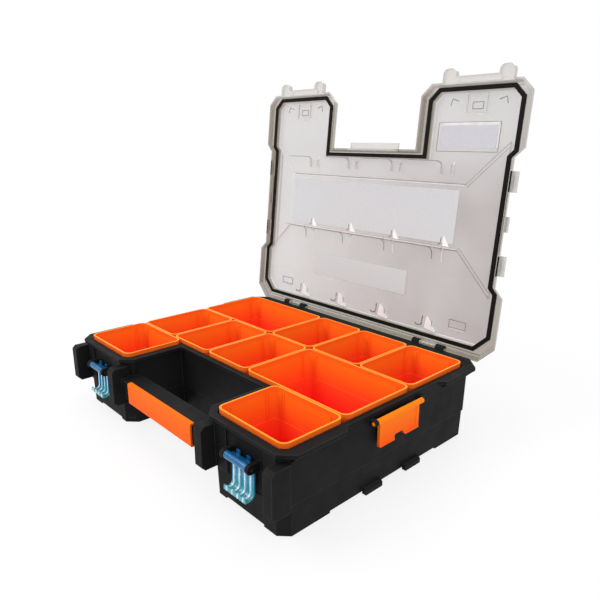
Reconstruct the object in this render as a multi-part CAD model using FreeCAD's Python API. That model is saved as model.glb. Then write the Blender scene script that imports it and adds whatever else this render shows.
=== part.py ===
import FreeCAD, Part
import math
import os

# A stackable organizer box with its lid open, in millimetres.
# X is to the right, Y to the back, Z up; the origin is the middle of the face it stands on.

V = FreeCAD.Vector

# Bins: one small size on a grid, turned by a quarter at the front, and a wide size of two columns
bin_short = 80.0
bin_long = 104.0
bin_columns = 5
bin_gap = 1.0
bin_height = 88.0
bin_wall = 1.6
bin_floor = 2.0
bin_corner = 9.0
bin_lip_height = 5.0
bin_lip_step = 0.8
bin_foot_inset = 5.0
bin_ledge_drop = 36.0
bin_ledge_width = 1.2
bin_rib_width = 1.2
bin_rib_depth = 0.9
bin_rib_setback = 13.0
bin_rib_pitch = 3.6
bin_ribs = 2

# Base tray
tray_clearance = 1.0
tray_wall = 3.0
tray_floor = 3.0
tray_corner = 6.0
shell_corner = 10.0
notch_corner = 12.0
band_height = 33.0
band_step = 1.8
wall_draft = 0.8
rim_proud = 4.4
deck_thickness = 4.0
foot_height = 2.4
foot_width = 28.0
foot_length = 60.0
inner_foot_width = 24.0

# Rim deck, measured out from the tray's cavity
deck_side = 13.3
deck_waist = 6.1
deck_front = 8.3
deck_notch_side = 10.7
deck_notch_back = 7.3

# Gussets under the rim deck
gusset_thickness = 2.5
gusset_drop = 10.0
gusset_pitch = 24.0
gussets_per_corner = 3

# Lid outline, measured out from the tray's cavity
rim_waist = 11.8
rim_front = 12.5
rim_back = 28.8
rim_notch_side = 19.5
rim_notch_back = 12.5
waist_step = 11.2
waist_centre = 5.0
waist_length = 150.0
arm_chamfer = 14.0
back_chamfer = 20.0

# Lid section
lid_gap = 0.3
lid_height = 14.6
lid_flange = 2.6
lid_lip_drop = 5.4
lid_lip_width = 2.4
lid_skirt_height = 10.5
lid_skirt_draft = 4.5
lid_wall = 2.3
lid_top = 2.5
lid_dish_inset = 4.0
lid_dish_draft = 1.5

# Gasket in the lid's flange
gasket_inset = 0.8
gasket_width = 5.0
gasket_seat = 1.0
gasket_proud = 1.4
seal_setback = 2.8

# Sunk band across the lid, with flared ends
band_sink = 3.0
band_front_y = -37.0
band_back_y = 44.0
band_half = 157.0
band_end = 201.0
band_x = -8.0

# Lid details
guide_length = 11.0
guide_width = 1.6
guide_height = 3.5
guide_spread = 7.5
guide_front_shift = 9.0
guide_back_shift = 2.5
pocket_width = 28.0
pocket_length = 22.0
pocket_wall = 1.5
pocket_height = 2.0
pocket_setback = 13.0
notch_tab_half = 43.0
notch_tab_reach = 8.4
side_tab_reach = 5.0
side_tab_length = 24.0
side_tab_offset = 49.0
side_slot_width = 3.0
side_slot_length = 14.0
middle_tab_reach = 1.5
middle_tab_length = 18.0

# Catch on each lid arm
bump_offset = 37.5
bump_width = 18.0
bump_reach = 16.0
bump_height = 7.0
bump_round = 6.5
catch_bar_depth = 6.5
catch_round = 4.0

# Labels on the lid's inner face
label_thickness = 0.3
main_label_width = 302.0
main_label_length = 67.0
lower_label_width = 180.0
lower_label_length = 33.0
lower_label_x = -14.0
lower_label_y = 99.0
arm_label_width = 78.0
arm_label_length = 26.0
arm_label_setback = 63.0
arm_label_x = 142.0

# Hinge
hinge_setback = 2.2
hinge_x = 130.0
hinge_pin = 3.0
pin_clearance = 0.05
knuckle_radius = 4.5
knuckle_length = 24.0
side_knuckle_length = 12.0
knuckle_gap = 0.5
knuckle_root = 9.0
lid_open_angle = 96.0

# Latches
latch_x = 151.0
latch_width = 34.0
latch_pivot_z = 63.0
latch_pin = 3.0
latch_barrel = 4.0
latch_setback = 8.5
latch_web = 2.5
latch_plate = 1.6
latch_claw_gap = 0.4
latch_claw_barb = 1.4
latch_rib_width = 2.4
latch_rib_height = 1.2
latch_ribs = 4
latch_rib_margin = 3.0
latch_prong_width = 5.0
latch_prong_length = 5.5
latch_prong_offset = 8.0
latch_side_gap = 0.4
latch_open_angle = 178.0
ear_thickness = 4.0
ear_radius = 5.0

# Guards beside each latch
guard_offset = 48.0
guard_thickness = 12.0
guard_reach = 9.5
guard_bottom = 32.0
guard_top = 80.0
guard_chamfer = 4.0
recess_half = 29.0

# Handle
grip_half = 69.0
grip_height = 27.0
grip_depth = 5.5
grip_wall = 2.3
grip_gap = 0.3
grip_top = 68.0
grip_round = 2.0
grip_proud = 0.5
bar_depth = 25.0

# Side clips
clip_bar_length = 75.0
clip_bar_radius = 3.0
clip_width = 65.0
clip_drop = 29.5
clip_plate = 2.5
clip_axle = 4.0
clip_axle_length = 5.0
clip_z = 81.0
clip_outset = 12.0
clip_end_gap = 0.4
clip_notch_width = 18.0
clip_notch_depth = 5.0
clip_border_width = 4.0
clip_border_height = 0.9
clip_lip_height = 3.0
clip_lip_reach = 1.8
clip_ear_height = 3.5

# Stacking tabs under each long side
stack_tab_offset = 33.0
stack_tab_length = 26.0
stack_tab_reach = 5.5
stack_tab_height = 8.0
stack_tab_chamfer = 3.0

# How far each cut runs past the faces that it opens
overrun = 1.0

# Places worked out from the sizes above
grid_half_x = bin_columns * bin_short / 2
grid_half_y = (bin_long + bin_long + bin_short) / 2
cavity_half_x = grid_half_x + tray_clearance
cavity_half_y = grid_half_y + tray_clearance
notch_half = grid_half_x - bin_long - tray_clearance
notch_y = -grid_half_y + bin_short - tray_clearance

floor_top = foot_height + tray_floor
rim_z = floor_top + bin_height
deck_top = rim_z - rim_proud
deck_bottom = deck_top - deck_thickness

seal_bottom = deck_top + lid_gap
flange_bottom = seal_bottom + gasket_proud
flange_top = flange_bottom + lid_flange
lid_bottom = flange_bottom - lid_lip_drop
skirt_top = lid_bottom + lid_skirt_height
lid_top_z = lid_bottom + lid_height
panel_bottom = lid_top_z - lid_top

waist_half = cavity_half_x + rim_waist
arm_half = waist_half + waist_step
lid_front = -cavity_half_y - rim_front
lid_back = cavity_half_y + rim_back
lid_notch_half = notch_half - rim_notch_side
lid_notch_y = notch_y - rim_notch_back
waist_front = waist_centre - waist_length / 2
waist_back = waist_centre + waist_length / 2

hinge_y = lid_back - hinge_setback
hinge_z = deck_top
deck_end = hinge_y - knuckle_radius - knuckle_gap
seal_back = deck_end - seal_setback
bend_y = lid_front - catch_bar_depth + catch_round
bend_z = skirt_top - catch_round
latch_bend = catch_round + latch_claw_gap + latch_rib_height
latch_pivot_y = bend_y - latch_bend - latch_plate + latch_setback
wall_front = -cavity_half_y - tray_wall
clip_x = cavity_half_x + clip_outset


# Helpers

def polygon(points, z):
    corners = [V(x, y, z) for x, y in points]
    return Part.makePolygon(corners + corners[:1])


def prism(points, bottom, top):
    return Part.Face(polygon(points, bottom)).extrude(V(0, 0, top - bottom))


def taper(low_points, low_z, high_points, high_z):
    return Part.makeLoft([polygon(low_points, low_z), polygon(high_points, high_z)], True, True)


def block(x0, x1, y0, y1, z0, z1):
    return Part.makeBox(x1 - x0, y1 - y0, z1 - z0, V(x0, y0, z0))


def rod_x(x0, x1, y, z, radius):
    return Part.makeCylinder(radius, x1 - x0, V(x0, y, z), V(1, 0, 0))


def rod_y(y0, y1, x, z, radius):
    return Part.makeCylinder(radius, y1 - y0, V(x, y0, z), V(0, 1, 0))


def prism_x(points, x0, x1):
    """Extrude an outline of (y, z) points along X."""
    corners = [V(x0, y, z) for y, z in points]
    return Part.Face(Part.makePolygon(corners + corners[:1])).extrude(V(x1 - x0, 0, 0))


def prism_y(points, y0, y1):
    """Extrude an outline of (x, z) points along Y."""
    corners = [V(x, y0, z) for x, z in points]
    return Part.Face(Part.makePolygon(corners + corners[:1])).extrude(V(0, y1 - y0, 0))


def join(shapes):
    return shapes[0].fuse(shapes[1:]).removeSplitter()


def mirrored(shape):
    return shape.mirror(V(0, 0, 0), V(1, 0, 0))


def inset(points, distance):
    """Move every edge of a counter-clockwise outline inwards by a distance."""
    moved = []
    count = len(points)
    for i, (x, y) in enumerate(points):
        before = points[i - 1]
        after = points[(i + 1) % count]
        ax, ay = unit(x - before[0], y - before[1])
        bx, by = unit(after[0] - x, after[1] - y)
        scale = distance / (1 + ax * bx + ay * by)
        moved.append((x - scale * (ay + by), y + scale * (ax + bx)))
    return moved


def unit(x, y):
    length = math.hypot(x, y)
    return x / length, y / length


def both_sides(half):
    """Complete a right-hand half outline, given from front to back, with its mirror image."""
    return half + [(-x, y) for x, y in reversed(half)]


def tub_outline(grow, corner, notch_round):
    """The tray's U-shaped plan, grown outwards from its cavity."""
    half_x = cavity_half_x + grow
    half_y = cavity_half_y + grow
    inner = notch_half - grow
    return both_sides([
        (inner, notch_y - grow),
        (inner, -half_y + notch_round),
        (inner + notch_round, -half_y),
        (half_x - corner, -half_y),
        (half_x, -half_y + corner),
        (half_x, half_y - corner),
        (half_x - corner, half_y),
    ])


def rim_outline(arm, waist, front, back, notch_side, notch_back):
    """A U-shaped plan with a waist, from its half widths and the places of its other edges."""
    step = arm - waist
    return both_sides([
        (notch_side, notch_back),
        (notch_side, front + arm_chamfer),
        (notch_side + arm_chamfer, front),
        (arm - arm_chamfer, front),
        (arm, front + arm_chamfer),
        (arm, waist_front - step),
        (waist, waist_front),
        (waist, waist_back),
        (arm, waist_back + step),
        (arm, back - back_chamfer),
        (arm - back_chamfer, back),
    ])


def lid_outline(distance=0):
    """The lid's plan, drawn in by a distance."""
    whole = rim_outline(arm_half, waist_half, lid_front, lid_back, lid_notch_half, lid_notch_y)
    return inset(whole, distance)


def seal_outline(distance=0, back=seal_back):
    """The edge of the rim deck and of the seal that lies on it, drawn in by a distance."""
    whole = rim_outline(cavity_half_x + deck_side, cavity_half_x + deck_waist,
                        -cavity_half_y - deck_front, back,
                        notch_half - deck_notch_side, notch_y - deck_notch_back)
    return inset(whole, distance)


def open_lid(shape):
    """Swing a shape that is drawn on the closed lid to the open position."""
    turned = shape.copy()
    turned.rotate(V(0, hinge_y, hinge_z), V(1, 0, 0), -lid_open_angle)
    return turned


# Base tray

def tray_body():
    """The tray's outside with its rim deck, still solid inside."""
    lower = taper(
        tub_outline(tray_wall, shell_corner, notch_corner), foot_height,
        tub_outline(tray_wall + wall_draft, shell_corner, notch_corner), band_height)
    upper_grow = tray_wall + band_step
    upper = taper(
        tub_outline(upper_grow, shell_corner, notch_corner), band_height,
        tub_outline(upper_grow + wall_draft, shell_corner, notch_corner), deck_bottom)
    deck = prism(seal_outline(0, deck_end), deck_bottom, deck_top)
    return join([lower, upper, deck] + deck_gussets())


def deck_gussets():
    """Triangular webs that carry the wide parts of the rim deck."""
    root = cavity_half_x + tray_wall
    tip = cavity_half_x + deck_side
    web = [(root, deck_bottom), (tip, deck_bottom), (root, deck_bottom - gusset_drop)]
    first_rows = (lid_front + arm_chamfer + gusset_thickness, waist_back + waist_step)
    webs = []
    for first in first_rows:
        for i in range(gussets_per_corner):
            y = first + i * gusset_pitch
            right = prism_y(web, y, y + gusset_thickness)
            webs += [right, mirrored(right)]
    return webs


def tray_feet():
    """Low pads at the outer corners, beside the notch and under the middle."""
    grown = tray_wall
    half_x = cavity_half_x + grown
    half_y = cavity_half_y + grown
    corner = shell_corner
    front = prism([
        (half_x - foot_width, -half_y),
        (half_x - corner, -half_y),
        (half_x, -half_y + corner),
        (half_x, -half_y + foot_length),
        (half_x - foot_width, -half_y + foot_length),
    ], 0, foot_height)
    back = front.mirror(V(0, 0, 0), V(0, 1, 0))
    inner = notch_half - grown
    beside_notch = prism([
        (inner + notch_corner, -half_y),
        (inner + inner_foot_width, -half_y),
        (inner + inner_foot_width, -half_y + foot_length),
        (inner, -half_y + foot_length),
        (inner, -half_y + notch_corner),
    ], 0, foot_height)
    middle = block(-foot_length / 2, foot_length / 2, -foot_width / 2, foot_width / 2, 0, foot_height)
    right = [front, back, beside_notch]
    return right + [mirrored(shape) for shape in right] + [middle]


def stacking_tabs():
    """Tabs at the lower edge of each long side, which the clips of the box below hold."""
    root = cavity_half_x
    tip = cavity_half_x + tray_wall + stack_tab_reach
    tabs = []
    for side in (-1, 1):
        middle = waist_centre + side * stack_tab_offset
        tab = prism_y([
            (root, foot_height),
            (root, stack_tab_height),
            (tip - stack_tab_chamfer, stack_tab_height),
            (tip, stack_tab_height - stack_tab_chamfer),
            (tip, 0),
            (tip - stack_tab_reach, 0),
            (tip - stack_tab_reach, foot_height),
        ], middle - stack_tab_length / 2, middle + stack_tab_length / 2)
        tabs += [tab, mirrored(tab)]
    return tabs


def hinge_stations():
    """Base knuckles on both sides of each lid knuckle."""
    knuckles = []
    near = knuckle_length / 2 + knuckle_gap
    for side in (-1, 1):
        ends = sorted((hinge_x + side * near, hinge_x + side * (near + side_knuckle_length)))
        barrel = rod_x(ends[0], ends[1], hinge_y, hinge_z, knuckle_radius)
        root = block(ends[0], ends[1], hinge_y - knuckle_root, hinge_y, hinge_z - knuckle_radius, deck_top)
        bore = rod_x(ends[0] - overrun, ends[1] + overrun, hinge_y, hinge_z, hinge_pin / 2 + pin_clearance)
        knuckle = barrel.fuse(root).cut(bore)
        knuckles += [knuckle, mirrored(knuckle)]
    return knuckles


def latch_mount():
    """Pin ears and side guards of the right latch."""
    root = wall_front + tray_wall
    pieces = []
    near = latch_width / 2 + latch_side_gap
    for side in (-1, 1):
        ends = sorted((latch_x + side * near, latch_x + side * (near + ear_thickness)))
        head = rod_x(ends[0], ends[1], latch_pivot_y, latch_pivot_z, ear_radius)
        arm = block(ends[0], ends[1], latch_pivot_y, root,
                    latch_pivot_z - ear_radius, latch_pivot_z + ear_radius)
        bore = rod_x(ends[0] - overrun, ends[1] + overrun, latch_pivot_y, latch_pivot_z,
                     latch_pin / 2 + pin_clearance)
        pieces.append(head.fuse(arm).cut(bore))
        ends = sorted((latch_x + side * guard_offset, latch_x + side * (guard_offset + guard_thickness)))
        tip = lid_front - guard_reach
        pieces.append(prism_x([
            (root, guard_bottom),
            (tip + guard_chamfer, guard_bottom),
            (tip, guard_bottom + guard_chamfer),
            (tip, guard_top - guard_chamfer),
            (tip + guard_chamfer, guard_top),
            (root, guard_top),
        ], ends[0], ends[1]))
    return pieces


def latch_recess():
    """The flat in the front wall behind the right latch, which leaves the plain wall thickness."""
    return block(latch_x - recess_half, latch_x + recess_half,
                 wall_front - deck_thickness, wall_front, guard_bottom, deck_bottom)


def clip_ears():
    """Ears that hold the right clip's axle."""
    root = cavity_half_x
    near = clip_bar_length / 2 + clip_end_gap
    bore_radius = clip_axle / 2 + pin_clearance
    ears = []
    for side in (-1, 1):
        ends = sorted((waist_centre + side * near, waist_centre + side * (near + clip_axle_length)))
        head = rod_y(ends[0], ends[1], clip_x, clip_z, clip_ear_height)
        arm = block(root, clip_x, ends[0], ends[1], clip_z - clip_ear_height, clip_z + clip_ear_height)
        bore = rod_y(ends[0] - overrun, ends[1] + overrun, clip_x, clip_z, bore_radius)
        ears.append(head.fuse(arm).cut(bore))
    return ears


def handle_bar():
    """The crossbar between the two front arms, which the grip covers."""
    front = lid_front + grip_wall + grip_gap - grip_proud
    reach = notch_half
    top = grip_top - grip_wall - grip_gap
    bottom = grip_top - grip_height + grip_wall + grip_gap
    return block(-reach, reach, front, front + bar_depth, bottom, top)


def base_tray():
    body = tray_body().cut([latch_recess(), mirrored(latch_recess())])
    right = latch_mount() + clip_ears()
    left = [mirrored(shape) for shape in right]
    whole = [body, handle_bar()] + right + left + tray_feet() + stacking_tabs() + hinge_stations()
    cavity = prism(tub_outline(0, tray_corner, tray_corner), floor_top, deck_top + overrun)
    return join(whole).cut(cavity).removeSplitter()


def handle_grip():
    """A channel that wraps the front, top and underside of the crossbar."""
    front = lid_front - grip_proud
    back = front + grip_depth
    bottom = grip_top - grip_height
    outer = block(-grip_half, grip_half, front, back, bottom, grip_top)
    long_edges = [edge for edge in outer.Edges
                  if edge.BoundBox.XLength > grip_half and edge.BoundBox.YMax < back]
    outer = outer.makeFillet(grip_round, long_edges)
    inner = block(-grip_half - overrun, grip_half + overrun, front + grip_wall, back + overrun,
                  bottom + grip_wall, grip_top - grip_wall)
    return outer.cut(inner)


# Bins

def rounded_rectangle(middle_x, middle_y, half_x, half_y, radius, z):
    """A closed wire of four straight sides and four corner arcs."""
    edges = []
    start = None
    first = None
    for turn in range(4):
        sign_x = (1, -1, -1, 1)[turn]
        sign_y = (1, 1, -1, -1)[turn]
        centre = V(middle_x + sign_x * (half_x - radius), middle_y + sign_y * (half_y - radius), z)
        points = []
        for part in range(3):
            angle = math.pi / 2 * turn + math.pi / 4 * part
            points.append(centre + V(radius * math.cos(angle), radius * math.sin(angle), 0))
        if start is not None:
            edges.append(Part.LineSegment(start, points[0]).toShape())
        else:
            first = points[0]
        edges.append(Part.Arc(*points).toShape())
        start = points[2]
    edges.append(Part.LineSegment(start, first).toShape())
    return Part.Wire(edges)


def bin_outer_inset(z):
    """How far a bin's outer wall lies in from its rim, below the lip."""
    lip = rim_z - bin_lip_height
    return bin_lip_step + bin_foot_inset * (lip - z) / (lip - floor_top)


def make_bin(middle_x, middle_y, width, depth):
    half_x = (width - bin_gap) / 2
    half_y = (depth - bin_gap) / 2
    lip = rim_z - bin_lip_height
    ledge = rim_z - bin_ledge_drop
    floor = floor_top + bin_floor

    def outline(draw_in, z):
        radius = bin_corner - bin_wall if draw_in > bin_lip_step else bin_corner
        return rounded_rectangle(middle_x, middle_y, half_x - draw_in, half_y - draw_in, radius, z)

    def hollow(extra, low, high):
        low_wire = outline(bin_outer_inset(low) + extra, low)
        high_wire = outline(bin_outer_inset(high) + extra, high)
        return Part.makeLoft([low_wire, high_wire], True, True)

    body = hollow(0, floor_top, lip)
    rim = Part.Face(outline(0, lip)).extrude(V(0, 0, bin_lip_height))
    upper = hollow(bin_wall, ledge, rim_z + overrun)
    lower = hollow(bin_wall + bin_ledge_width, floor, ledge)
    shell = body.fuse(rim).cut(upper).cut(lower)
    ribs = bin_ribs_of(middle_x, middle_y, half_x, half_y, ledge, lip)
    return shell.fuse(ribs).removeSplitter()


def bin_ribs_of(middle_x, middle_y, half_x, half_y, ledge, top):
    """Fine upright ribs beside each corner, between the ledge and the lip."""
    ribs = []
    for along_x in (True, False):
        span = half_x if along_x else half_y
        reach = half_y if along_x else half_x
        for side in (-1, 1):
            for end in (-1, 1):
                for i in range(bin_ribs):
                    along = end * (span - bin_rib_setback - i * bin_rib_pitch)
                    wires = [rib_wire(middle_x, middle_y, along_x, along, side, reach, z)
                             for z in (ledge, top)]
                    ribs.append(Part.makeLoft(wires, True, True))
    return ribs


def rib_wire(middle_x, middle_y, along_x, along, side, reach, z):
    face = reach - bin_outer_inset(z) - bin_wall
    corners = []
    for offset, depth in ((-1, -1), (1, -1), (1, 1), (-1, 1)):
        a = along + offset * bin_rib_width / 2
        inward = face - bin_rib_depth if depth < 0 else face + bin_wall / 2
        b = side * inward
        corners.append((middle_x + a, middle_y + b) if along_x else (middle_x + b, middle_y + a))
    return polygon(corners, z)


def bin_nodes():
    """Every bin's name, with its middle and its size on the grid."""
    front_y = -grid_half_y + bin_short / 2
    middle_y = -grid_half_y + bin_short + bin_long / 2
    back_y = grid_half_y - bin_long / 2
    front_x = grid_half_x - bin_long / 2
    nodes = {
        "bin_front_left": (-front_x, front_y, bin_long, bin_short),
        "bin_front_right": (front_x, front_y, bin_long, bin_short),
    }

    def column(first, count):
        return -grid_half_x + bin_short * (first + count / 2)

    wide = bin_short + bin_short
    for i in range(3):
        nodes["bin_middle_%d" % (i + 1)] = (column(i, 1), middle_y, bin_short, bin_long)
    nodes["bin_middle_wide"] = (column(3, 2), middle_y, wide, bin_long)
    nodes["bin_back_wide"] = (column(0, 2), back_y, wide, bin_long)
    for i in range(3):
        nodes["bin_back_%d" % (i + 3)] = (column(i + 2, 1), back_y, bin_short, bin_long)
    return nodes


# Lid, drawn closed

def lid_shell():
    flange = prism(lid_outline(lid_skirt_draft), flange_bottom, flange_top)
    dish = taper(seal_outline(lid_dish_inset), flange_bottom,
                 seal_outline(lid_dish_inset + lid_dish_draft), lid_top_z)
    inner_inset = lid_dish_inset + lid_wall
    hollow = taper(seal_outline(inner_inset), flange_bottom,
                   seal_outline(inner_inset + lid_dish_draft), panel_bottom)
    shell = join([flange, lid_skirt(), dish] + side_tabs() + [notch_tab()] + catches())
    shell = shell.cut(hollow)
    shell = join([shell, sunk_band()] + divider_guides() + arm_pockets() + lid_knuckles())
    return shell.cut([band_relief(), gasket_ring()] + side_slots() + knuckle_reliefs()).removeSplitter()


def lid_skirt():
    """The leaning rim all round the lid, which laps over the edge of the deck."""
    outer = taper(lid_outline(), lid_bottom, lid_outline(lid_skirt_draft), skirt_top)
    inner = taper(lid_outline(lid_lip_width), lid_bottom,
                  lid_outline(lid_lip_width + lid_skirt_draft), skirt_top)
    return outer.cut(inner)


def band_outline(distance=0):
    """The sunk band's plan: straight across the middle and flared at both ends."""
    right = band_x + band_half
    left = band_x - band_half
    flare_right = band_end - right
    flare_left = band_end + left
    return inset([
        (band_end, band_front_y - flare_right),
        (band_end, band_back_y + flare_right),
        (right, band_back_y),
        (left, band_back_y),
        (-band_end, band_back_y + flare_left),
        (-band_end, band_front_y - flare_left),
        (left, band_front_y),
        (right, band_front_y),
    ], distance)


def sunk_band():
    return prism(band_outline(), panel_bottom - band_sink, panel_bottom)


def band_relief():
    return prism(band_outline(lid_top), lid_top_z - band_sink, lid_top_z + overrun)


def divider_guides():
    """Pairs of short ribs under the panel, over the corners where the bins meet."""
    rows = [-grid_half_y + bin_short + guide_front_shift,
            grid_half_y - bin_long + guide_back_shift,
            grid_half_y + guide_back_shift]
    guides = []
    for column in range(1, bin_columns):
        x = -grid_half_x + column * bin_short
        for row in rows:
            for side in (-1, 1):
                middle = x + side * guide_spread
                guides.append(block(middle - guide_width / 2, middle + guide_width / 2,
                                    row - guide_length / 2, row + guide_length / 2,
                                    panel_bottom - guide_height, panel_bottom))
    return guides


def arm_pockets():
    """A raised square frame near the front of each arm."""
    front = lid_front + pocket_setback
    x0 = latch_x - pocket_width / 2
    x1 = latch_x + pocket_width / 2
    bottom = panel_bottom - pocket_height
    frame = block(x0, x1, front, front + pocket_length, bottom, panel_bottom)
    frame = frame.cut(block(x0 + pocket_wall, x1 - pocket_wall, front + pocket_wall,
                            front + pocket_length - pocket_wall, bottom, panel_bottom))
    return [frame, mirrored(frame)]


def notch_tab():
    return block(-notch_tab_half, notch_tab_half,
                 lid_notch_y - notch_tab_reach, lid_notch_y + lid_skirt_draft,
                 flange_bottom, flange_top)


def side_tabs():
    """Tabs outside the lid's waist, on both sides of each clip and over its middle."""
    tabs = []
    sizes = [(-side_tab_offset, side_tab_length, side_tab_reach),
             (side_tab_offset, side_tab_length, side_tab_reach),
             (0, middle_tab_length, middle_tab_reach)]
    for offset, length, reach in sizes:
        middle = waist_centre + offset
        tab = block(waist_half - lid_skirt_draft, waist_half + reach,
                    middle - length / 2, middle + length / 2,
                    flange_bottom, flange_top)
        tabs += [tab, mirrored(tab)]
    return tabs


def side_slots():
    """Slots through the flange beside the two outer tabs of each side."""
    slots = []
    for side in (-1, 1):
        middle = waist_centre + side * side_tab_offset
        slot = block(waist_half, waist_half + side_slot_width, middle - side_slot_length / 2,
                     middle + side_slot_length / 2, flange_bottom - overrun, flange_top)
        slots += [slot, mirrored(slot)]
    return slots


def catches():
    """Bumps with rounded corners and a bar between them, at the front of each arm."""
    pieces = []
    half = bump_width / 2
    tip = lid_front - bump_reach
    for side in (-1, 1):
        middle = latch_x + side * bump_offset
        bump = block(middle - half, middle + half, tip, lid_front + lid_lip_width,
                     lid_bottom, lid_bottom + bump_height)
        corners = [edge for edge in bump.Edges
                   if edge.BoundBox.ZLength > lid_lip_width and edge.BoundBox.YMax < lid_front]
        pieces.append(bump.makeFillet(bump_round, corners))
    near = bump_offset - half
    x0 = latch_x - near
    x1 = latch_x + near
    front = lid_front - catch_bar_depth
    nose = rod_x(x0, x1, bend_y, bend_z, catch_round)
    nose = nose.common(block(x0, x1, front, bend_y, lid_bottom, skirt_top))
    pieces.append(nose.fuse([
        block(x0, x1, front, lid_front, lid_bottom, bend_z),
        block(x0, x1, bend_y, lid_front, bend_z, skirt_top),
        block(x0, x1, lid_front, lid_front + lid_lip_width, lid_bottom, flange_bottom),
    ]))
    return pieces + [mirrored(shape) for shape in pieces]


def lid_knuckles():
    """The lid's own knuckles, between the base knuckles."""
    x0 = hinge_x - knuckle_length / 2
    x1 = hinge_x + knuckle_length / 2
    barrel = rod_x(x0, x1, hinge_y, hinge_z, knuckle_radius)
    root = block(x0, x1, hinge_y - knuckle_root, hinge_y, seal_bottom, hinge_z + knuckle_radius)
    bore = rod_x(x0 - overrun, x1 + overrun, hinge_y, hinge_z, hinge_pin / 2 + pin_clearance)
    knuckle = barrel.fuse(root).cut(bore)
    return [knuckle, mirrored(knuckle)]


def knuckle_reliefs():
    """Room in the lid for the base knuckles and for the hinge pins."""
    cuts = []
    near = knuckle_length / 2
    far = near + knuckle_gap + side_knuckle_length + knuckle_gap
    radius = knuckle_radius + knuckle_gap
    for side in (-1, 1):
        ends = sorted((hinge_x + side * near, hinge_x + side * far))
        room = rod_x(ends[0], ends[1], hinge_y, hinge_z, radius)
        behind = block(ends[0], ends[1], hinge_y, hinge_y + radius, hinge_z, hinge_z + radius)
        cuts += [room.fuse(behind), mirrored(room.fuse(behind))]
    bore = rod_x(hinge_x - far, hinge_x + far, hinge_y, hinge_z, hinge_pin / 2 + pin_clearance)
    return cuts + [bore, mirrored(bore)]


def gasket_ring():
    inner_inset = gasket_inset + gasket_width
    outer = prism(seal_outline(gasket_inset), seal_bottom, flange_bottom + gasket_seat)
    inner = prism(seal_outline(inner_inset), seal_bottom, flange_bottom + gasket_seat)
    return outer.cut(inner)


def label(middle_x, middle_y, width, length, top):
    return block(middle_x - width / 2, middle_x + width / 2, middle_y - length / 2, middle_y + length / 2,
                 top - label_thickness, top)


def lid_labels():
    band_middle = (band_front_y + band_back_y) / 2
    return {
        "label_main": label(band_x, band_middle, main_label_width, main_label_length,
                            panel_bottom - band_sink),
        "label_lower": label(lower_label_x, lower_label_y, lower_label_width, lower_label_length,
                             panel_bottom),
        "label_arm": label(arm_label_x, lid_front + arm_label_setback, arm_label_width, arm_label_length,
                           panel_bottom),
    }


# Latches, drawn closed

def latch():
    """The right latch: a ribbed plate bent over into a claw, with a pin barrel and two stop prongs."""
    x0 = latch_x - latch_width / 2
    x1 = latch_x + latch_width / 2
    tip = lid_front + latch_claw_gap + latch_plate
    plate = bent_strip(x0, x1, latch_pivot_z, tip, latch_bend, latch_bend + latch_plate)
    claw = block(x0, x1, tip - latch_plate, tip,
                 skirt_top - latch_claw_barb, bend_z + latch_bend + latch_plate)
    barrel = rod_x(x0, x1, latch_pivot_y, latch_pivot_z, latch_barrel)
    bore = rod_x(x0 - overrun, x1 + overrun, latch_pivot_y, latch_pivot_z, latch_pin / 2 + pin_clearance)
    inner = bend_y - latch_bend
    web = block(x0, x1, inner, latch_pivot_y, latch_pivot_z, latch_pivot_z + latch_web)
    pieces = [plate, claw, barrel, web] + latch_ribs_of(tip) + latch_prongs(inner - latch_plate, inner)
    return join(pieces).cut(bore)


def bent_strip(x0, x1, low, tip, near, far):
    """A strip between two radii that stands up, bends in over the catch bar and runs to a tip."""
    upright = block(x0, x1, bend_y - far, bend_y - near, low, bend_z)
    ring = rod_x(x0, x1, bend_y, bend_z, far).cut(rod_x(x0, x1, bend_y, bend_z, near))
    corner = ring.common(block(x0, x1, bend_y - far, bend_y, bend_z, bend_z + far))
    level = block(x0, x1, bend_y, tip, bend_z + near, bend_z + far)
    return join([upright, corner, level])


def latch_ribs_of(tip):
    """Ribs that follow the latch's inner face from the barrel to the claw."""
    low = latch_pivot_z + latch_barrel
    first = latch_x - latch_width / 2 + latch_rib_margin
    pitch = (latch_width - latch_rib_margin - latch_rib_margin - latch_rib_width) / (latch_ribs - 1)
    ribs = []
    for i in range(latch_ribs):
        x = first + i * pitch
        ribs.append(bent_strip(x, x + latch_rib_width, low, tip - latch_plate,
                               latch_bend - latch_rib_height, latch_bend + latch_plate / 2))
    return ribs


def latch_prongs(outer, inner):
    prongs = []
    for side in (-1, 1):
        middle = latch_x + side * latch_prong_offset
        prongs.append(block(middle - latch_prong_width / 2, middle + latch_prong_width / 2, outer, inner,
                            latch_pivot_z - latch_prong_length, latch_pivot_z))
    return prongs


def open_latch(shape):
    """Swing a latch from its closed position to hanging open."""
    turned = shape.copy()
    turned.rotate(V(0, latch_pivot_y, latch_pivot_z), V(1, 0, 0), latch_open_angle)
    return turned


def latch_pin_rod():
    half = latch_width / 2 + latch_side_gap + ear_thickness
    return rod_x(latch_x - half, latch_x + half, latch_pivot_y, latch_pivot_z, latch_pin / 2)


def hinge_pin_rod():
    half = knuckle_length / 2 + knuckle_gap + side_knuckle_length
    return rod_x(hinge_x - half, hinge_x + half, hinge_y, hinge_z, hinge_pin / 2)


# Side clip

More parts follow.
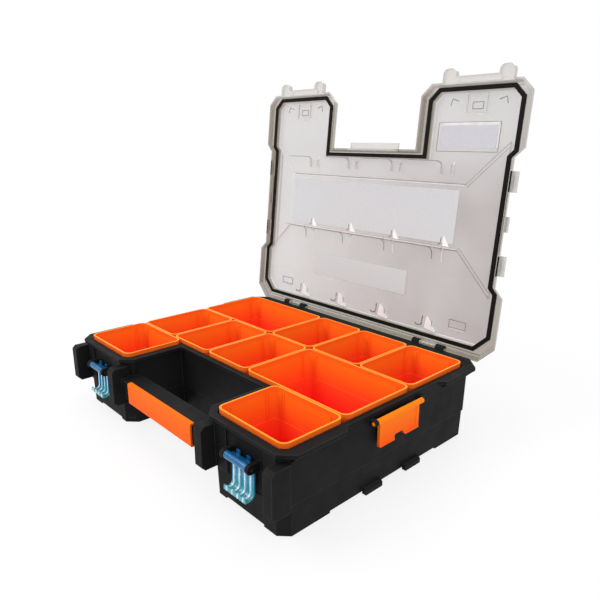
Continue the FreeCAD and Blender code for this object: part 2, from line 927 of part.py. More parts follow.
def side_clip():
    """The right clip: a round bar with stub axles, and a bordered plate with a notch in its lower edge."""
    bar_half = clip_bar_length / 2
    bar = rod_y(waist_centre - bar_half, waist_centre + bar_half, clip_x, clip_z, clip_bar_radius)
    axle_half = bar_half + clip_end_gap + clip_axle_length
    axle = rod_y(waist_centre - axle_half, waist_centre + axle_half, clip_x, clip_z, clip_axle / 2)
    inner = clip_x - clip_bar_radius
    outer = inner + clip_plate
    half = clip_width / 2
    low = clip_z - clip_drop
    plate = block(inner, outer, waist_centre - half, waist_centre + half, low, clip_z)
    lip = prism_y([
        (outer, low),
        (outer + clip_lip_reach, low),
        (outer, low + clip_lip_height),
    ], waist_centre - half, waist_centre + half)
    borders = []
    for side in (-1, 1):
        ends = sorted((waist_centre + side * half, waist_centre + side * (half - clip_border_width)))
        borders.append(block(outer, outer + clip_border_height, ends[0], ends[1], low, clip_z))
    notch_half_low = clip_notch_width / 2
    notch_half_high = notch_half_low - clip_notch_depth / 2
    notch = Part.Face(Part.makePolygon([
        V(inner - overrun, waist_centre - notch_half_low, low),
        V(inner - overrun, waist_centre + notch_half_low, low),
        V(inner - overrun, waist_centre + notch_half_high, low + clip_notch_depth),
        V(inner - overrun, waist_centre - notch_half_high, low + clip_notch_depth),
        V(inner - overrun, waist_centre - notch_half_low, low),
    ])).extrude(V(clip_plate + clip_lip_reach + overrun + overrun, 0, 0))
    return join([bar, axle, plate, lip] + borders).cut(notch).removeSplitter()


# All nodes

def nodes():
    parts = {"base_tray": base_tray(), "handle_grip": handle_grip()}
    for name, sizes in bin_nodes().items():
        parts[name] = make_bin(*sizes)
    parts["lid_shell"] = open_lid(lid_shell())
    parts["lid_gasket"] = open_lid(gasket_ring())
    for name, shape in lid_labels().items():
        parts[name] = open_lid(shape)
    right_side = {
        "hinge_pin": hinge_pin_rod(),
        "latch": open_latch(latch()),
        "latch_pin": latch_pin_rod(),
        "side_clip": side_clip(),
    }
    for name, shape in right_side.items():
        parts[name + "_right"] = shape
        parts[name + "_left"] = mirrored(shape)
    return parts


os.makedirs("parts", exist_ok=True)
for node_name, node_shape in nodes().items():
    node_shape.exportStep("parts/%s.step" % node_name)
    print(node_name, node_shape.isValid(), len(node_shape.Solids), round(node_shape.Volume))
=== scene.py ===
import math

import bmesh
import bpy
from mathutils import Matrix, Vector


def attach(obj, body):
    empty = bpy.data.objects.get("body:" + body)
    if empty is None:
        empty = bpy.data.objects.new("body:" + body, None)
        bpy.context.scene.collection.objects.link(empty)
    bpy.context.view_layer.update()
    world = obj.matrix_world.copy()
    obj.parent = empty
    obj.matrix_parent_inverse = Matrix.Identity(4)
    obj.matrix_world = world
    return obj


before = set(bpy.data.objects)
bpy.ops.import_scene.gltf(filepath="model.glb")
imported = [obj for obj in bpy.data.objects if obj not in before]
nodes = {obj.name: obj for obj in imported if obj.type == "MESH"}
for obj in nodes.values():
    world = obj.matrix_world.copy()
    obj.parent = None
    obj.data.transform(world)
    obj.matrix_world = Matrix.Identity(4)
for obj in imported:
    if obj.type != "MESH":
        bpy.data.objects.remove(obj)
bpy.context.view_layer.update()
scene = bpy.context.scene

MM = 0.001
WHITE = (1.0, 1.0, 1.0, 1.0)

# Hinge line and open angle of the lid, for pieces that are drawn on the closed lid
HINGE = Vector((0.0, 0.1716, 0.0890))
OPEN_ANGLE = math.radians(-96.0)
OPEN_LID = Matrix.Translation(HINGE) @ Matrix.Rotation(OPEN_ANGLE, 4, "X") @ Matrix.Translation(-HINGE)

# The closed lid's upward direction, as it points on the open lid
LID_UP = Vector((0.0, 0.99452, -0.10453))

# Inner faces of the closed lid, in millimetres
PANEL_Z = 97.4
BAND_Z = 94.4
FLANGE_Z = 90.7


# Materials. Places are in metres, with the lid open and the bins in.

# Noise textures lie mostly between these two values
NOISE_LOW = 0.3
NOISE_HIGH = 0.7
NOISE_ROUGHNESS = 0.55

# Octaves of a noise texture
FINE = 2.0
SOFT = 3.0
FULL = 4.0

# How far a rounded normal turns from the true one at an edge, as the cosine between them
EDGE_START = 0.99
EDGE_FULL = 0.85
BEVEL_SAMPLES = 8

BIN_FLOOR = 0.0054
BIN_RIM = 0.0934
LABELS_LOW = 0.15
LABELS_HIGH = 0.36

# Slope of the lid's faces, from walls to flat faces
WALL_SLOPE = 0.25
FLAT_SLOPE = 0.85

# Heights along LID_UP: where the flange fades into the panel, and the span of the walls, whose painted shade
# turns into a painted highlight towards the panel
FLANGE_END = 0.1661
FLANGE_FULL = 0.1655
WALL_LOW = 0.1631
WALL_HIGH = 0.1698

# Zones of the lid with a tone of their own: a corner darkened by painted shade, guides with a painted
# highlight on their sides, and paler tabs and catches
DIM_X_START = -0.16
DIM_X_FULL = 0.10
DIM_Z_START = 0.36
DIM_Z_FULL = 0.27
GUIDE_REACH = 0.15
GUIDE_TOP = 0.321
SIDE_TAB_X = 0.2129
SIDE_TAB_LOW = 0.185
SIDE_TAB_HIGH = 0.325
NOTCH_TAB_HALF = 0.0435
NOTCH_TAB_LOW = 0.3345
CATCH_START = 0.398
CATCH_FULL = 0.414

# Middle of each latch, its lip, barrel and top, and its ribs from the first one on
LATCH_X = 0.151
LATCH_LIP = 0.026
BARREL_START = 0.0565
BARREL_FULL = 0.0585
LATCH_TOP = 0.066
FIRST_RIB = 0.014
RIB_PITCH = 0.0085333
RIB_RISE = 0.0004
RIB_FALL = 0.0022
RIB_END = 0.0030


def srgb(r, g, b):
    """A linear colour from 8-bit display values."""
    out = []
    for v in (r, g, b):
        c = v / 255
        out.append(c / 12.92 if c <= 0.04045 else ((c + 0.055) / 1.055) ** 2.4)
    return (out[0], out[1], out[2], 1.0)


class Graph:
    """Short calls for a material's node tree."""

    def __init__(self, name):
        self.material = bpy.data.materials.new(name)
        self.material.use_nodes = True
        self.tree = self.material.node_tree
        self.shader = self.tree.nodes["Principled BSDF"]
        coord = self.tree.nodes.new("ShaderNodeTexCoord")
        self.place = coord.outputs["Object"]
        self.normal = coord.outputs["Normal"]

    def node(self, kind, **values):
        made = self.tree.nodes.new(kind)
        for key, value in values.items():
            setattr(made, key, value)
        return made

    def link(self, source, target):
        self.tree.links.new(source, target)

    def put(self, value, socket):
        """Link an output to a socket, or set a constant there."""
        if hasattr(value, "is_output"):
            self.link(value, socket)
        else:
            socket.default_value = value

    def noise(self, scale, detail=FULL):
        made = self.node("ShaderNodeTexNoise")
        self.link(self.place, made.inputs["Vector"])
        made.inputs["Scale"].default_value = scale
        made.inputs["Detail"].default_value = detail
        made.inputs["Roughness"].default_value = NOISE_ROUGHNESS
        return made.outputs["Fac"]

    def ramp(self, factor, stops):
        made = self.node("ShaderNodeValToRGB")
        elements = made.color_ramp.elements
        while len(elements) < len(stops):
            elements.new(0.5)
        for element, (at, colour) in zip(elements, stops):
            element.position = at
            element.color = colour
        self.link(factor, made.inputs["Fac"])
        return made.outputs["Color"]

    def remap(self, value, low, high, to_low=0.0, to_high=1.0):
        made = self.node("ShaderNodeMapRange")
        self.link(value, made.inputs["Value"])
        for key, number in (("From Min", low), ("From Max", high), ("To Min", to_low), ("To Max", to_high)):
            made.inputs[key].default_value = number
        return made.outputs["Result"]

    def vary(self, scale, low, high):
        """A number that wanders between two values over the surface."""
        return self.remap(self.noise(scale), NOISE_LOW, NOISE_HIGH, low, high)

    def cloudy(self, noise, low, high):
        """A colour that follows a noise between two tones."""
        return self.ramp(noise, [(NOISE_LOW, low), (NOISE_HIGH, high)])

    def mix(self, factor, a, b):
        made = self.node("ShaderNodeMixRGB")
        for socket, value in zip(made.inputs, (factor, a, b)):
            self.put(value, socket)
        return made.outputs[0]

    def math(self, operation, a, b=0.0):
        made = self.node("ShaderNodeMath", operation=operation)
        self.put(a, made.inputs[0])
        self.put(b, made.inputs[1])
        return made.outputs[0]

    def times(self, a, b):
        return self.math("MULTIPLY", a, b)

    def absolute(self, value):
        return self.math("ABSOLUTE", value)

    def dot(self, socket, direction):
        made = self.node("ShaderNodeVectorMath", operation="DOT_PRODUCT")
        self.link(socket, made.inputs[0])
        made.inputs[1].default_value = direction
        return made.outputs["Value"]

    def axis(self, name):
        made = self.node("ShaderNodeSeparateXYZ")
        self.link(self.place, made.inputs[0])
        return made.outputs[name]

    def rounded(self, radius):
        """The normal of the shape with its edges rounded off."""
        made = self.node("ShaderNodeBevel", samples=BEVEL_SAMPLES)
        made.inputs["Radius"].default_value = radius
        return made.outputs["Normal"]

    def edges(self, radius):
        """1 along the edges of the shape and 0 elsewhere."""
        turned = self.node("ShaderNodeVectorMath", operation="DOT_PRODUCT")
        self.link(self.rounded(radius), turned.inputs[0])
        self.link(self.node("ShaderNodeNewGeometry").outputs["Normal"], turned.inputs[1])
        return self.remap(turned.outputs["Value"], EDGE_START, EDGE_FULL)

    def bump(self, height, strength, distance, radius=0.0):
        """A fine grain, on edges that are rounded off where a radius is given."""
        made = self.node("ShaderNodeBump")
        made.inputs["Strength"].default_value = strength
        made.inputs["Distance"].default_value = distance
        self.link(height, made.inputs["Height"])
        if radius:
            self.link(self.rounded(radius), made.inputs["Normal"])
        self.link(made.outputs["Normal"], self.shader.inputs["Normal"])

    def set(self, **values):
        for key, value in values.items():
            self.put(value, self.shader.inputs[key.replace("_", " ")])


def black_plastic():
    """Dull black with a patchy painted highlight along its edges."""
    g = Graph("black_moulded_plastic")
    tone = g.cloudy(g.noise(14.0, SOFT), srgb(18, 18, 19), srgb(25, 25, 26))
    patchy_highlight = g.remap(g.noise(35.0, SOFT), 0.3, 0.65, 0.25, 0.9)
    # Painted highlight: a paler tone along the edges, stronger in patches, so the black shape reads
    tone = g.mix(g.times(g.edges(radius=0.0012), patchy_highlight), tone, srgb(62, 62, 64))
    g.set(Base_Color=tone, Roughness=g.vary(60.0, 0.5, 0.64), Specular_IOR_Level=0.08)
    g.bump(g.noise(1500.0, FINE), strength=0.12, distance=0.0004, radius=0.0008)
    return g.material


def bin_plastic():
    """Orange with painted shade that gets redder with depth, and a painted highlight on the top of the rim.
    """
    g = Graph("orange_bin_plastic")
    height = g.remap(g.axis("Z"), BIN_FLOOR, BIN_RIM)
    # Painted shade: redder towards the floor of the bin, and slightly redder again on the side faces at the
    # rim
    tone = g.ramp(height, [
        (0.0, srgb(255, 38, 46)),
        (0.30, srgb(255, 50, 44)),
        (0.55, srgb(255, 80, 40)),
        (0.72, srgb(255, 106, 32)),
        (0.92, srgb(255, 124, 28)),
        (0.96, srgb(255, 110, 30)),
    ])
    # Painted highlight: a yellow-orange tone on the upward faces at the top of the rim
    upward = g.remap(g.dot(g.normal, (0.0, 0.0, 1.0)), 0.5, 0.9)
    rim = g.times(upward, g.remap(height, 0.95, 0.98))
    tone = g.mix(rim, tone, srgb(255, 158, 26))
    tone = g.mix(g.vary(30.0, 0.0, 0.12), tone, srgb(250, 74, 30))
    g.set(Base_Color=tone, Roughness=g.vary(45.0, 0.30, 0.42), Specular_IOR_Level=0.18)
    g.bump(g.noise(900.0, FINE), strength=0.05, distance=0.0003)
    return g.material


def orange_plastic(name, low, high, z_low, z_high):
    """Orange between two tones from bottom to top, the lighter top being painted light, with a painted
    highlight along its edges.
    """
    g = Graph(name)
    # Painted light: darker at the bottom, lighter towards the top
    tone = g.ramp(g.remap(g.axis("Z"), z_low, z_high), [(0.0, low), (1.0, high)])
    tone = g.mix(g.vary(40.0, 0.0, 0.15), tone, srgb(246, 88, 16))
    # Painted highlight: a paler orange along the edges
    tone = g.mix(g.times(g.edges(radius=0.0009), 0.45), tone, srgb(255, 156, 48))
    g.set(Base_Color=tone, Roughness=g.vary(70.0, 0.42, 0.55), Specular_IOR_Level=0.06)
    g.bump(g.noise(1200.0, FINE), strength=0.10, distance=0.0003, radius=0.0006)
    return g.material


def clear_lid():
    """Clear plastic: grey panel with painted shade towards one corner, beige flange, browner walls of painted
    shade that turn into a painted highlight next to the panel, guides with a painted highlight on their
    sides, pale tabs and catches.
    """
    g = Graph("clear_smoky_plastic")
    across = g.absolute(g.axis("X"))
    height = g.axis("Z")
    closed_height = g.dot(g.place, LID_UP)
    flat = g.absolute(g.dot(g.normal, LID_UP))
    cloud = g.noise(7.0, SOFT)

    # Painted shade, tinted pink, that darkens the panel towards its lower right corner
    corner = g.times(g.remap(g.axis("X"), DIM_X_START, DIM_X_FULL), g.remap(height, DIM_Z_START, DIM_Z_FULL))
    corner_shade = g.times(corner, g.remap(g.noise(11.0, FINE), 0.25, 0.65, 0.55, 1.0))
    panel = g.mix(corner_shade, g.cloudy(cloud, srgb(168, 165, 164), srgb(192, 190, 189)), srgb(136, 120, 119))
    flange = g.remap(closed_height, FLANGE_END, FLANGE_FULL)
    tone = g.mix(flange, panel, g.cloudy(cloud, srgb(138, 127, 104), srgb(172, 162, 138)))
    # Painted shade on the walls, brown near the flange, turning into a painted highlight next to the panel
    wall_shade_and_highlight = g.ramp(g.remap(closed_height, WALL_LOW, WALL_HIGH), [
        (0.0, srgb(120, 108, 84)),
        (0.6, srgb(138, 127, 104)),
        (0.85, srgb(222, 219, 212)),
        (1.0, srgb(236, 234, 231)),
    ])
    tone = g.mix(g.remap(flat, WALL_SLOPE, FLAT_SLOPE, 1.0, 0.0), tone, wall_shade_and_highlight)

    # Painted highlight: a near-white tone on the sideways faces of the guides
    sideways = g.remap(g.absolute(g.dot(g.normal, (1.0, 0.0, 0.0))), 0.85, 0.95)
    guides = g.times(sideways, g.math("LESS_THAN", across, GUIDE_REACH))
    guides = g.times(guides, g.math("LESS_THAN", height, GUIDE_TOP))
    tone = g.mix(guides, tone, srgb(232, 231, 229))

    side_tabs = g.math("GREATER_THAN", across, SIDE_TAB_X)
    side_tabs = g.times(side_tabs, g.math("GREATER_THAN", height, SIDE_TAB_LOW))
    side_tabs = g.times(side_tabs, g.math("LESS_THAN", height, SIDE_TAB_HIGH))
    notch_tab = g.math("LESS_THAN", across, NOTCH_TAB_HALF)
    notch_tab = g.times(notch_tab, g.math("GREATER_THAN", height, NOTCH_TAB_LOW))
    catches = g.remap(height, CATCH_START, CATCH_FULL, 0.0, 0.8)
    pale = g.math("MAXIMUM", g.math("MAXIMUM", side_tabs, notch_tab), catches)
    tone = g.mix(pale, tone, srgb(206, 202, 197))

    alpha = g.remap(flat, WALL_SLOPE, FLAT_SLOPE, 0.60, 0.34)
    for denser in (corner_shade, flange):
        alpha = g.math("ADD", alpha, g.remap(denser, 0.0, 1.0, 0.0, 0.08))
    g.set(Base_Color=tone, Roughness=g.vary(25.0, 0.08, 0.2), Alpha=alpha, IOR=1.58)
    g.bump(g.noise(55.0, FINE), strength=0.05, distance=0.0006)
    return g.material


def lid_detail(name, low, high, alpha):
    """Small moulded details of the lid, and painted highlights and shade laid on it: a cloudy tone that still
    lets some light through.
    """
    g = Graph(name)
    g.set(Base_Color=g.cloudy(g.noise(90.0, SOFT), low, high), Alpha=alpha,
          Roughness=g.vary(140.0, 0.2, 0.4), Specular_IOR_Level=0.3)
    g.bump(g.noise(700.0, FINE), strength=0.05, distance=0.0002)
    return g.material


def rubber():
    g = Graph("black_seal_rubber")
    g.set(Base_Color=g.cloudy(g.noise(80.0), srgb(10, 8, 7), srgb(20, 17, 15)), Roughness=0.7,
          Specular_IOR_Level=0.12)
    g.bump(g.noise(1800.0, FINE), strength=0.15, distance=0.0003)
    return g.material


def label_film():
    """Blank film, graded with height and white on its glued side."""
    g = Graph("blank_label_film")
    weave = g.noise(260.0, FINE)
    tone = g.ramp(g.remap(g.axis("Z"), LABELS_LOW, LABELS_HIGH), [
        (0.0, srgb(200, 212, 214)),
        (0.45, srgb(200, 206, 208)),
        (1.0, srgb(190, 191, 198)),
    ])
    tone = g.mix(g.remap(weave, NOISE_LOW, NOISE_HIGH, 0.0, 0.12), tone, srgb(226, 228, 234))
    glued = g.remap(g.dot(g.normal, LID_UP), 0.5, 0.9)
    tone = g.mix(glued, tone, srgb(250, 250, 252))
    g.set(Base_Color=tone, Roughness=0.45, Specular_IOR_Level=0.3)
    g.bump(weave, strength=0.05, distance=0.0002)
    return g.material


def steel():
    g = Graph("drawn_steel")
    g.set(Base_Color=g.cloudy(g.noise(300.0), srgb(150, 152, 155), srgb(190, 192, 195)), Metallic=1.0,
          Roughness=g.vary(500.0, 0.25, 0.4))
    g.bump(g.noise(2500.0, FINE), strength=0.05, distance=0.0002)
    return g.material


def latch_paint():
    """Blue coat, with a patchy painted highlight along the ribs below the barrel, and greyer towards the lip.
    """
    g = Graph("blue_latch_coat")
    height = g.axis("Z")
    tone = g.ramp(g.remap(height, LATCH_LIP, LATCH_TOP), [
        (0.0, srgb(96, 164, 174)),
        (0.18, srgb(52, 158, 180)),
        (0.35, srgb(8, 144, 186)),
        (0.80, srgb(4, 112, 164)),
        (1.0, srgb(2, 84, 136)),
    ])
    across = g.math("SUBTRACT", g.absolute(g.axis("X")), LATCH_X)
    within = g.math("MODULO", g.math("ADD", across, FIRST_RIB + RIB_PITCH), RIB_PITCH)
    rib = g.times(g.remap(within, 0.0, RIB_RISE), g.remap(within, RIB_FALL, RIB_END, 1.0, 0.0))
    # Painted highlight: pale stripes on the rib crowns, patchy, below the barrel
    rib_highlight = g.times(rib, g.remap(g.noise(160.0), 0.3, 0.6, 0.55, 1.0))
    rib_highlight = g.times(rib_highlight, g.remap(height, BARREL_START, BARREL_FULL, 1.0, 0.0))
    tone = g.mix(rib_highlight, tone, srgb(216, 240, 244))
    tone = g.mix(g.remap(g.noise(120.0), 0.5, 0.8, 0.0, 0.2), tone, srgb(130, 196, 210))
    g.set(Base_Color=tone, Metallic=0.1, Roughness=g.vary(200.0, 0.2, 0.34), Coat_Weight=0.2,
          Coat_Roughness=0.1, Specular_IOR_Level=0.3)
    g.bump(g.noise(1600.0, FINE), strength=0.04, distance=0.0002, radius=0.0004)
    return g.material


def dress(name, material):
    slots = nodes[name].data.materials
    slots.clear()
    slots.append(material)


bin_material = bin_plastic()
# The clip and the grip get painted light: their upper tone is lighter than their lower one
clip_material = orange_plastic("orange_clip_plastic", srgb(255, 88, 14), srgb(255, 134, 12), 0.051, 0.084)
grip_material = orange_plastic("orange_grip_plastic", srgb(255, 94, 14), srgb(255, 110, 16), 0.041, 0.068)
label_material = label_film()
latch_material = latch_paint()
lid_material = clear_lid()
pin_material = steel()
seal_material = rubber()

dress("base_tray", black_plastic())
dress("handle_grip", grip_material)
dress("lid_shell", lid_material)
dress("lid_gasket", seal_material)
for node_name in nodes:
    if node_name.startswith("bin_"):
        dress(node_name, bin_material)
    elif node_name.startswith("label_"):
        dress(node_name, label_material)
    elif "_pin_" in node_name:
        dress(node_name, pin_material)
    elif node_name.startswith("latch_"):
        dress(node_name, latch_material)
    elif node_name.startswith("side_clip_"):
        dress(node_name, clip_material)


# Small moulded details of the lid, with painted highlights and shadows, drawn in millimetres on the closed
# lid

THIN = 0.35
ARC_STEPS = 8


def plate(points, low, high):
    """A flat plate with the given outline between two heights."""
    count = len(points)
    verts = [(x, y, z) for z in (low, high) for x, y in points]
    faces = [list(range(count))[::-1], list(range(count, 2 * count))]
    faces += [[i, (i + 1) % count, (i + 1) % count + count, i + count] for i in range(count)]
    return verts, faces


def side_plate(side, inner, outer, y, half, low, high):
    """A rectangular plate at the left or right side of the lid."""
    corners = ((inner, -half), (outer, -half), (outer, half), (inner, half))
    return plate([(side * x, y + dy) for x, dy in corners], low, high)


def ribbon(points, width, face=PANEL_Z):
    """A thin strip of even width along a path, on an inner face of the lid."""
    verts = []
    for i, (x, y) in enumerate(points):
        ax, ay = points[max(i - 1, 0)]
        bx, by = points[min(i + 1, len(points) - 1)]
        along = Vector((bx - ax, by - ay)).normalized() * (width / 2)
        for z in (face - THIN, face):
            verts.append((x - along.y, y + along.x, z))
            verts.append((x + along.y, y - along.x, z))
    faces = [(0, 1, 3, 2), tuple(len(verts) - 4 + i for i in (2, 3, 1, 0))]
    for start in range(0, len(verts) - 4, 4):
        for one, two in ((0, 1), (1, 3), (3, 2), (2, 0)):
            faces.append((start + two, start + one, start + one + 4, start + two + 4))
    return verts, faces


def arc(x, y, radius, start, end):
    turn = [math.radians(start + (end - start) * i / ARC_STEPS) for i in range(ARC_STEPS + 1)]
    return [(x + radius * math.cos(t), y + radius * math.sin(t)) for t in turn]


def ring(x, y, half_x, half_y, width):
    """Four strips round a rectangle."""
    corners = [(x - half_x, y - half_y), (x + half_x, y - half_y),
               (x + half_x, y + half_y), (x - half_x, y + half_y)]
    return [ribbon([corners[i], corners[(i + 1) % 4]], width) for i in range(4)]


def moved(points, x, y):
    return [(x + dx, y + dy) for dx, dy in points]


def mirrored(points, side):
    return [(side * x, y) for x, y in points]


def on_lid(name, shapes, material):
    """One piece made of several shapes, laid on the open lid and moving with it."""
    verts = []
    faces = []
    for points, sides in shapes:
        start = len(verts)
        verts += [OPEN_LID @ (Vector(point) * MM) for point in points]
        faces += [[start + i for i in side] for side in sides]
    mesh = bpy.data.meshes.new(name)
    mesh.from_pydata(verts, [], faces)
    shape = bmesh.new()
    shape.from_mesh(mesh)
    bmesh.ops.recalc_face_normals(shape, faces=shape.faces[:])
    shape.to_mesh(mesh)
    shape.free()
    mesh.materials.append(material)
    piece = bpy.data.objects.new(name, mesh)
    scene.collection.objects.link(piece)
    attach(piece, "lid")


# Rows and columns of the divider guides
COLUMNS = (-120, -40, 40, 120)
FRONT_ROW = -55
MIDDLE_ROW = 42.5
BACK_ROW = 146.5
ROWS_OF_HOOKS = (FRONT_ROW, MIDDLE_ROW + 12)
ROWS_OF_LINES = (FRONT_ROW - 10, MIDDLE_ROW + 2)

# Outlines and paths around the middle of a guide, the edges among them being strips of painted highlight
BACK_FIN = [(-2, -10), (12.5, 8), (-4, 6)]
BACK_FIN_LOW = 93.85
BACK_HOOK = [(-10, -9), (-10.4, -2)] + arc(-16.4, -1, 6, 0, 140)
BACK_EDGE = [(-8.4, -9), (-8.8, -1)]
BAND_FIN = [(9, -15), (18, -1), (7, -2)]
BAND_HOOK = [(5, -12)] + arc(1, -7, 4, 0, 90)
GUIDE_HOOK = arc(-18, 0, 10, -90, 0) + [(-7.6, 6)]
GUIDE_EDGE = [(8, 8), (7, -3), (9, -9)]
ROW_LINE = [(-62, 0), (-18, 0)]

# The raised band's two long edges, each with the direction away from the band; a painted highlight lies just
# inside each edge and a line of painted shade just outside
BAND_EDGES = ((-37, -1), (44, 1))
BAND_LENGTH = [(-164, 0), (148, 0)]
BAND_EDGE_INSET = 0.6
BAND_LINE_OFFSET = 0.8

# The label's frame on the right arm, with a painted highlight along its top and side
FRAME_MIDDLE = (142, -94.5)
FRAME_HALF = (42.5, 17.5)
FRAME_TOP = [(105, -110), (182, -110)]
FRAME_SIDE = [(183, -108), (183, -82)]

# Marks in the back corners, and pockets on the arms with a mark on each side, each corner mark and pocket
# with a painted highlight along one edge
CORNER_X = 163
CORNER_Y = 138
CORNER_HALF = (12, 5)
CORNER_EDGE = [(-11, 6.5), (11, 6.5)]
POCKET_X = 151
POCKET_Y = -131
POCKET_HALF = (7, 4)
POCKET_EDGE = [(-14, 10), (14, 10)]
POCKET_MARK = [(27, -6), (36, -9), (38, -1)]

# A line of painted shadow on the rim between the outer side tabs, dark strips of painted shadow at these
# tabs, and the slots in these tabs
SIDE_TABS = (-44, 54)
RIM_LINE = [(208.2, -31), (208.2, 41)]
STRIP_INNER = 210.6
STRIP_OUTER = 212.7
STRIP_HALF = 11.8
STRIP_LOW = 85.15
STRIP_HIGH = 85.35
WINDOW_INNER = 212.9
WINDOW_OUTER = 215.7
WINDOW_HALF = 6.9
WINDOW_LOW = FLANGE_Z + 0.1
WINDOW_HIGH = FLANGE_Z + 0.3

# Widths of the strips
LINE_WIDTH = 0.7
MARK_WIDTH = 0.9
RIM_LINE_WIDTH = 1.0
GUIDE_HOOK_WIDTH = 0.8
BAND_HOOK_WIDTH = 1.1
BACK_HOOK_WIDTH = 1.5
EDGE_WIDTH = 1.2
WIDE_EDGE_WIDTH = 1.4
FRAME_SIDE_WIDTH = 1.6
FRAME_TOP_WIDTH = 3.4

fins = []
hooks = []
lines = []
edges = []
strips = []
windows = []

for column in COLUMNS:
    fins.append(plate(moved(BACK_FIN, column, BACK_ROW), BACK_FIN_LOW, PANEL_Z))
    hooks.append(ribbon(moved(BACK_HOOK, column, BACK_ROW), BACK_HOOK_WIDTH))
    edges.append(ribbon(moved(BACK_EDGE, column, BACK_ROW), EDGE_WIDTH))
    fins.append(plate(moved(BAND_FIN, column, MIDDLE_ROW), BAND_Z - THIN, BAND_Z))
    hooks.append(ribbon(moved(BAND_HOOK, column, MIDDLE_ROW), BAND_HOOK_WIDTH, BAND_Z))
    for row in ROWS_OF_HOOKS:
        hooks.append(ribbon(moved(GUIDE_HOOK, column, row), GUIDE_HOOK_WIDTH))
        edges.append(ribbon(moved(GUIDE_EDGE, column, row), WIDE_EDGE_WIDTH))
for row in ROWS_OF_LINES:
    lines += [ribbon(moved(ROW_LINE, column, row), LINE_WIDTH) for column in COLUMNS]

# Along each long edge of the band, a strip of painted highlight inside and a dark line of painted shade
# outside
for y, out in BAND_EDGES:
    edges.append(ribbon(moved(BAND_LENGTH, 0, y - out * BAND_EDGE_INSET), EDGE_WIDTH, BAND_Z))
    lines.append(ribbon(moved(BAND_LENGTH, 0, y + out * BAND_LINE_OFFSET), MARK_WIDTH))

lines += ring(*FRAME_MIDDLE, *FRAME_HALF, LINE_WIDTH)
edges.append(ribbon(FRAME_TOP, FRAME_TOP_WIDTH))
edges.append(ribbon(FRAME_SIDE, FRAME_SIDE_WIDTH))

for side in (-1, 1):
    lines += ring(side * CORNER_X, CORNER_Y, *CORNER_HALF, MARK_WIDTH)
    edges.append(ribbon(moved(CORNER_EDGE, side * CORNER_X, CORNER_Y), EDGE_WIDTH))
    lines += ring(side * POCKET_X, POCKET_Y, *POCKET_HALF, MARK_WIDTH)
    edges.append(ribbon(moved(POCKET_EDGE, side * POCKET_X, POCKET_Y), WIDE_EDGE_WIDTH))
    for way in (-1, 1):
        hooks.append(ribbon(moved(mirrored(POCKET_MARK, way), side * POCKET_X, POCKET_Y), MARK_WIDTH))
    # A dark line of painted shadow along the rim between the side tabs, in the hooks' tone
    hooks.append(ribbon(mirrored(RIM_LINE, side), RIM_LINE_WIDTH, FLANGE_Z))
    for y in SIDE_TABS:
        # Dark strips of painted shadow on the skirt's bottom at each side tab
        strips.append(side_plate(side, STRIP_INNER, STRIP_OUTER, y, STRIP_HALF, STRIP_LOW, STRIP_HIGH))
        windows.append(side_plate(side, WINDOW_INNER, WINDOW_OUTER, y, WINDOW_HALF, WINDOW_LOW, WINDOW_HIGH))

# The fins are clear plastic painted near white as a painted highlight
fin_highlight_material = lid_detail("lid_fin_painted_highlight", srgb(246, 246, 245), srgb(253, 253, 253), 0.97)
hook_material = lid_detail("lid_hook_plastic", srgb(98, 93, 88), srgb(132, 127, 121), 0.8)
# The lines are dark outlines of marks, and lines of painted shade beside the band
line_material = lid_detail("lid_line_plastic", srgb(128, 124, 120), srgb(156, 152, 148), 0.7)
# The edge strips are pale strips of painted highlight
edge_highlight_material = lid_detail("lid_painted_edge_highlight", srgb(222, 222, 220), srgb(240, 240, 239), 0.8)
on_lid("lid_fins", fins, fin_highlight_material)
on_lid("lid_hooks", hooks, hook_material)
on_lid("lid_lines", lines, line_material)
on_lid("lid_edge_highlights", edges, edge_highlight_material)
# The side strips are painted shadow, drawn in the seal's black rubber
on_lid("lid_side_shadow_strips", strips, seal_material)
on_lid("lid_tab_windows", windows, lid_material)


# Floor, light and camera

FLOOR_HALF = 6.0
FLOOR_Z = -0.0005
FLOOR_GREY = (0.86, 0.86, 0.86, 1.0)
SKY_LIGHT = 0.55

# How far the floor's shadow shows round the object, and its share of plain white near and far
SHADOW_NEAR = 0.25
SHADOW_FAR = 0.9
WHITE_NEAR = 0.80
WHITE_FAR = 1.0

# Area lights: name, place, aim, size in metres, watts
LIGHTS = (
    ("key", (-1.0, -1.3, 1.7), (0.0, 0.0, 0.08), 1.2, 26.0),
    ("fill", (1.7, -0.7, 0.9), (0.0, 0.0, 0.1), 1.2, 9.0),
    ("top", (0.2, 0.1, 2.0), (0.0, 0.0, 0.0), 1.4, 12.0),
    ("back", (-0.5, 1.9, 1.2), (0.0, 0.2, 0.2), 1.2, 12.0),
)

# The camera that was fitted to the photograph
CAMERA_PLACE = (0.5341, -0.4326, 0.3520)
CAMERA_RIGHT = (0.6784, 0.7347, 0.0)
CAMERA_AHEAD = (-0.7065, 0.6523, -0.2746)
CAMERA_LENS = 34.13
CAMERA_SENSOR = 36.0
CAMERA_CLIP = 0.01


def background_share(tree):
    """1 for rays that show the background, straight or by gloss or glass, and 0 for light on the object."""
    path = tree.nodes.new("ShaderNodeLightPath")
    share = path.outputs["Is Camera Ray"]
    for ray in ("Is Glossy Ray", "Is Transmission Ray"):
        most = tree.nodes.new("ShaderNodeMath")
        most.operation = "MAXIMUM"
        tree.links.new(share, most.inputs[0])
        tree.links.new(path.outputs[ray], most.inputs[1])
        share = most.outputs[0]
    return share


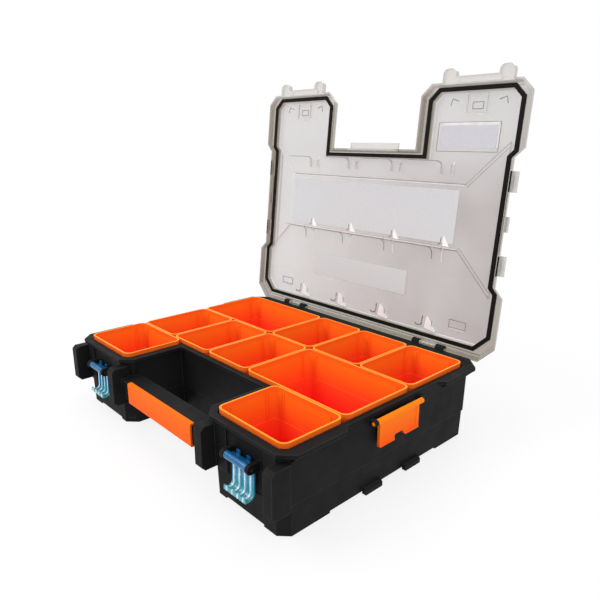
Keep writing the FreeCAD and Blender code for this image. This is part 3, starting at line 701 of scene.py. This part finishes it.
def white_stage():
    """A pale floor that shows nearly white to the camera and keeps the object's soft shadow."""
    material = bpy.data.materials.new("pale_floor")
    material.use_nodes = True
    tree = material.node_tree
    tree.nodes.clear()
    diffuse = tree.nodes.new("ShaderNodeBsdfDiffuse")
    diffuse.inputs["Color"].default_value = FLOOR_GREY
    glow = tree.nodes.new("ShaderNodeEmission")
    glow.inputs["Color"].default_value = WHITE
    glow.inputs["Strength"].default_value = 1.0
    place = tree.nodes.new("ShaderNodeTexCoord")
    reach = tree.nodes.new("ShaderNodeVectorMath")
    reach.operation = "LENGTH"
    tree.links.new(place.outputs["Object"], reach.inputs[0])
    fade = tree.nodes.new("ShaderNodeMapRange")
    fade.interpolation_type = "SMOOTHSTEP"
    tree.links.new(reach.outputs["Value"], fade.inputs["Value"])
    for key, number in (("From Min", SHADOW_NEAR), ("From Max", SHADOW_FAR),
                        ("To Min", WHITE_NEAR), ("To Max", WHITE_FAR)):
        fade.inputs[key].default_value = number
    share = tree.nodes.new("ShaderNodeMath")
    share.operation = "MULTIPLY"
    tree.links.new(background_share(tree), share.inputs[0])
    tree.links.new(fade.outputs["Result"], share.inputs[1])
    mix = tree.nodes.new("ShaderNodeMixShader")
    tree.links.new(share.outputs[0], mix.inputs[0])
    tree.links.new(diffuse.outputs[0], mix.inputs[1])
    tree.links.new(glow.outputs[0], mix.inputs[2])
    out = tree.nodes.new("ShaderNodeOutputMaterial")
    tree.links.new(mix.outputs[0], out.inputs["Surface"])

    mesh = bpy.data.meshes.new("floor")
    shape = bmesh.new()
    corners = ((-FLOOR_HALF, -FLOOR_HALF), (FLOOR_HALF, -FLOOR_HALF),
               (FLOOR_HALF, FLOOR_HALF), (-FLOOR_HALF, FLOOR_HALF))
    shape.faces.new([shape.verts.new((x, y, FLOOR_Z)) for x, y in corners])
    shape.to_mesh(mesh)
    shape.free()
    mesh.materials.append(material)
    floor = bpy.data.objects.new("floor", mesh)
    scene.collection.objects.link(floor)


def sky():
    """Soft light from all sides, behind which the background is white."""
    world = bpy.data.worlds.new("studio")
    scene.world = world
    world.use_nodes = True
    tree = world.node_tree
    tree.nodes.clear()
    mix = tree.nodes.new("ShaderNodeMixShader")
    tree.links.new(background_share(tree), mix.inputs[0])
    for place, strength in ((1, SKY_LIGHT), (2, 1.0)):
        shade = tree.nodes.new("ShaderNodeBackground")
        shade.inputs["Color"].default_value = WHITE
        shade.inputs["Strength"].default_value = strength
        tree.links.new(shade.outputs[0], mix.inputs[place])
    out = tree.nodes.new("ShaderNodeOutputWorld")
    tree.links.new(mix.outputs[0], out.inputs["Surface"])


def area_light(name, place, aim, size, watts):
    data = bpy.data.lights.new(name, "AREA")
    data.shape = "SQUARE"
    data.size = size
    data.energy = watts
    lamp = bpy.data.objects.new(name, data)
    lamp.location = place
    lamp.rotation_euler = (Vector(aim) - Vector(place)).to_track_quat("-Z", "Y").to_euler()
    scene.collection.objects.link(lamp)


def photo_camera():
    """The camera at the photograph's viewing angle."""
    camera = bpy.data.objects.new("camera", bpy.data.cameras.new("camera"))
    camera.data.sensor_width = CAMERA_SENSOR
    camera.data.lens = CAMERA_LENS
    camera.data.clip_start = CAMERA_CLIP
    ahead = Vector(CAMERA_AHEAD).normalized()
    up = Vector(CAMERA_RIGHT).normalized().cross(ahead).normalized()
    turn = Matrix((ahead.cross(up), up, -ahead)).transposed().to_4x4()
    camera.matrix_world = Matrix.Translation(CAMERA_PLACE) @ turn
    scene.collection.objects.link(camera)
    scene.camera = camera


white_stage()
sky()
for light in LIGHTS:
    area_light(*light)
photo_camera()
scene.view_settings.view_transform = "Standard"
